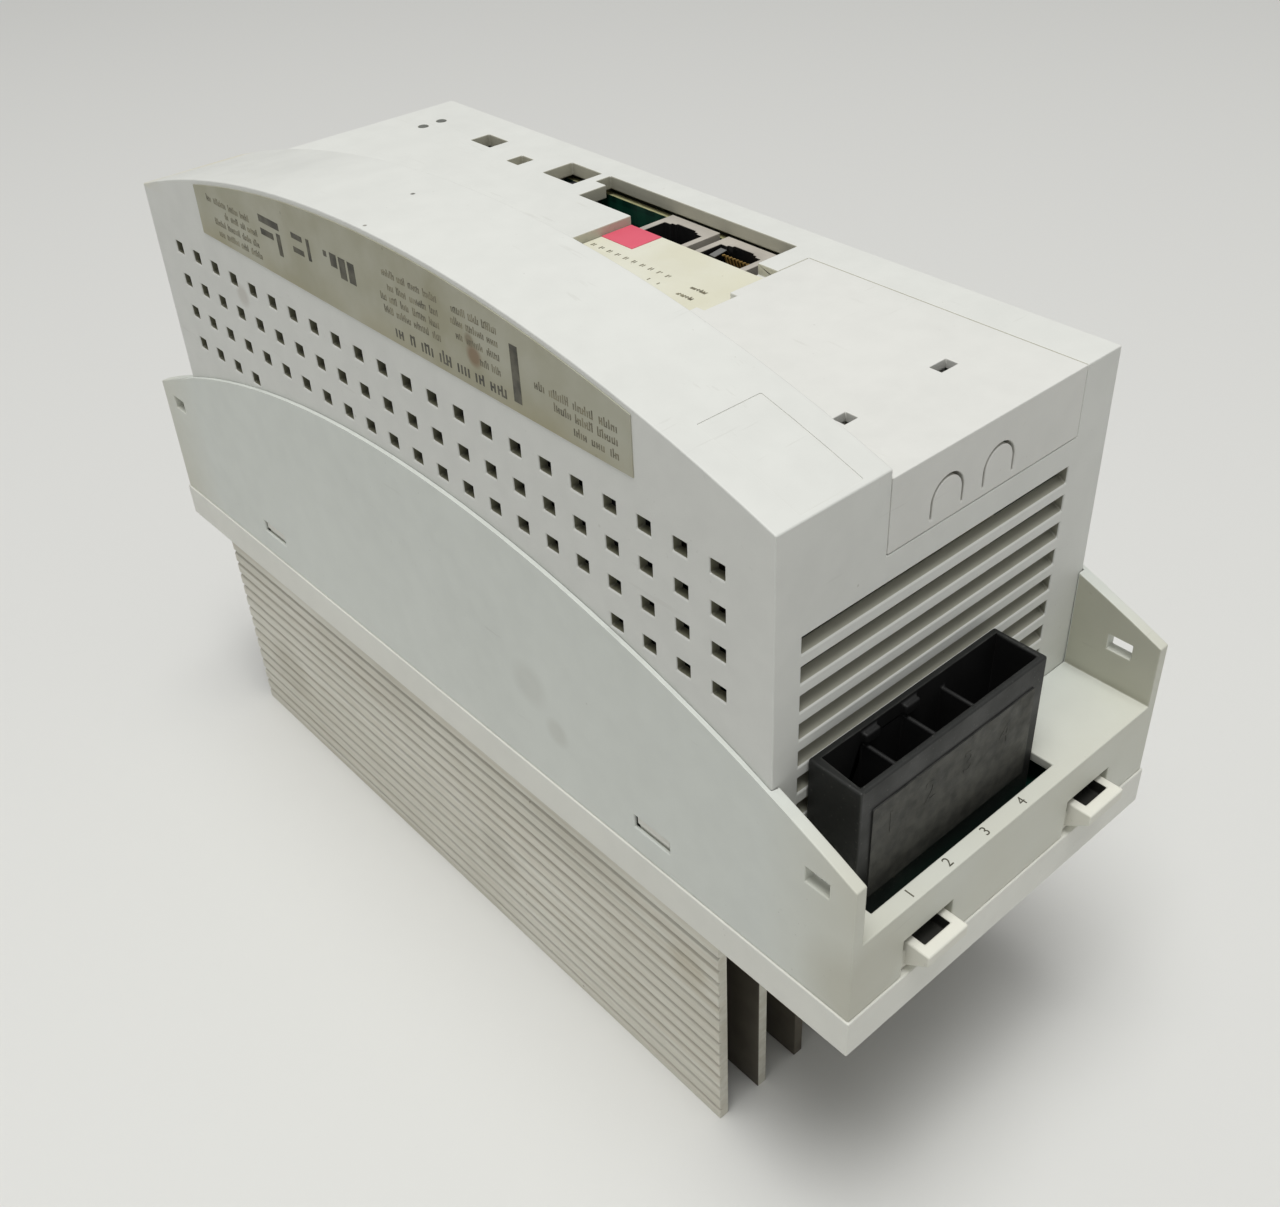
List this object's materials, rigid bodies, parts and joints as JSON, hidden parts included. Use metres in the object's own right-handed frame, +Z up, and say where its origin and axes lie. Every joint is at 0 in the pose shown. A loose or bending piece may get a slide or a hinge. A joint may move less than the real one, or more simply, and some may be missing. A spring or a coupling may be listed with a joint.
{
  "type": "servo drive",
  "caption": "Compact servo drive: vented hood with an arched strip, latched lower shell, finned heat sink, power connectors at both ends and data jacks on top.",
  "frame": {"origin": "on the ground under the middle of the casing, in the plane of the fin tips", "axes": "+Z up, away from the heat sink; +Y along the casing from the motor connector to the supply connector; +X across it, from the arched strip towards the data jacks"},
  "size_m": [0.0908, 0.2542, 0.1809],
  "materials": {
    "hood_plastic": "fine-textured off-white moulding, lightly scuffed",
    "shell_plastic": "fine-textured pale grey-green moulding",
    "frame_plastic": "fine-textured cream-grey moulding, lightly dirty",
    "sink_aluminium": "extruded, dull, with long grooves",
    "connector_plastic": "charcoal glass-filled moulding",
    "board_laminate": "dark green solder mask",
    "tinned_metal": "tin-plated blades",
    "gold_wire": "gold-flashed wires",
    "screw_steel": "zinc-plated",
    "insert_brass": "turned",
    "label_film": null,
    "port_paper": "cream label",
    "pink_paper": "pink sticker",
    "can_sleeve": "shrink sleeve",
    "module_plastic": "moulded module case",
    "pad_rubber": "soft thermal pad",
    "ferrite": "sintered ferrite",
    "winding_tape": "wrapped yellow tape",
    "copper_wire": "enamelled wire",
    "relay_plastic": "moulded cover",
    "jack_plastic": "beige-grey moulding",
    "block_plastic": "green moulding",
    "switch_plastic": "black moulding",
    "knob_plastic": "pale knobs and sliders",
    "led_plastic": "clear-tinted lens",
    "pipe_plastic": "smoked light pipe",
    "film": "thin polyester film"
  },
  "bodies": {
    "casing": {"heat_sink": "sink_aluminium", "heat_sink_screws": "screw_steel", "base_frame": "frame_plastic", "threaded_inserts": "insert_brass", "lower_shell": "shell_plastic", "hood": "hood_plastic", "side_label": "label_film", "port_label": "port_paper", "pink_sticker": "pink_paper", "motor_connector": "connector_plastic", "motor_contacts": "tinned_metal", "supply_connector": "connector_plastic", "supply_contacts": "tinned_metal", "power_board": "board_laminate", "power_module": "module_plastic", "thermal_pad": "pad_rubber", "module_screws": "screw_steel", "board_standoffs": "insert_brass", "board_screws": "screw_steel", "dc_link_capacitors": "can_sleeve", "transformer_core": "ferrite", "transformer_winding": "winding_tape", "choke_core": "ferrite", "choke_winding": "copper_wire", "relay": "relay_plastic", "current_sensors": "switch_plastic", "control_board": "board_laminate", "board_link": "switch_plastic", "front_jack": "jack_plastic", "front_jack_contacts": "gold_wire", "rear_jack": "jack_plastic", "rear_jack_contacts": "gold_wire", "terminal_block": "block_plastic", "terminal_screws": "screw_steel", "address_switch": "switch_plastic", "mode_switch": "switch_plastic", "reset_switch": "switch_plastic", "status_leds": "led_plastic", "light_pipes": "pipe_plastic", "insulation_sheet": "film"},
    "latch_front_left": {"latch_front_left": "frame_plastic"},
    "latch_front_right": {"latch_front_right": "frame_plastic"},
    "latch_back_left": {"latch_back_left": "frame_plastic"},
    "latch_back_right": {"latch_back_right": "frame_plastic"},
    "lid": {"terminal_lid": "hood_plastic"},
    "dial": {"address_dial": "knob_plastic"},
    "slider_1": {"mode_slider_1": "knob_plastic"},
    "slider_2": {"mode_slider_2": "knob_plastic"},
    "button": {"reset_button": "knob_plastic"}
  },
  "joints": [
    {"name": "latch_front_left_flex", "type": "hinge", "parent": "casing", "child": "latch_front_left", "pos_m": [-0.0242, -0.1205, 0.0726], "axis": [1, 0, 0], "range_deg": [0, 10], "stiffness_Nm_per_rad": 0.5},
    {"name": "latch_front_right_flex", "type": "hinge", "parent": "casing", "child": "latch_front_right", "pos_m": [0.0242, -0.1205, 0.0726], "axis": [1, 0, 0], "range_deg": [0, 10], "stiffness_Nm_per_rad": 0.5},
    {"name": "latch_back_left_flex", "type": "hinge", "parent": "casing", "child": "latch_back_left", "pos_m": [-0.0242, 0.1205, 0.0726], "axis": [-1, 0, 0], "range_deg": [0, 10], "stiffness_Nm_per_rad": 0.5},
    {"name": "latch_back_right_flex", "type": "hinge", "parent": "casing", "child": "latch_back_right", "pos_m": [0.0242, 0.1205, 0.0726], "axis": [-1, 0, 0], "range_deg": [0, 10], "stiffness_Nm_per_rad": 0.5},
    {"name": "terminal_lid_lift", "type": "slide", "parent": "casing", "child": "lid", "axis": [0, 0, 1], "range_m": [0, 0.03]},
    {"name": "address_dial_turn", "type": "hinge", "parent": "casing", "child": "dial", "pos_m": [0.0316, 0.0366, 0.1566], "axis": [0, 0, 1], "range_deg": [0, 324]},
    {"name": "mode_slider_1_slide", "type": "slide", "parent": "casing", "child": "slider_1", "axis": [1, 0, 0], "range_m": [0, 0.002]},
    {"name": "mode_slider_2_slide", "type": "slide", "parent": "casing", "child": "slider_2", "axis": [1, 0, 0], "range_m": [0, 0.002]},
    {"name": "reset_button_press", "type": "slide", "parent": "casing", "child": "button", "axis": [0, 0, -1], "range_m": [0, 0.0005], "stiffness_N_per_m": 1500}
  ]
}
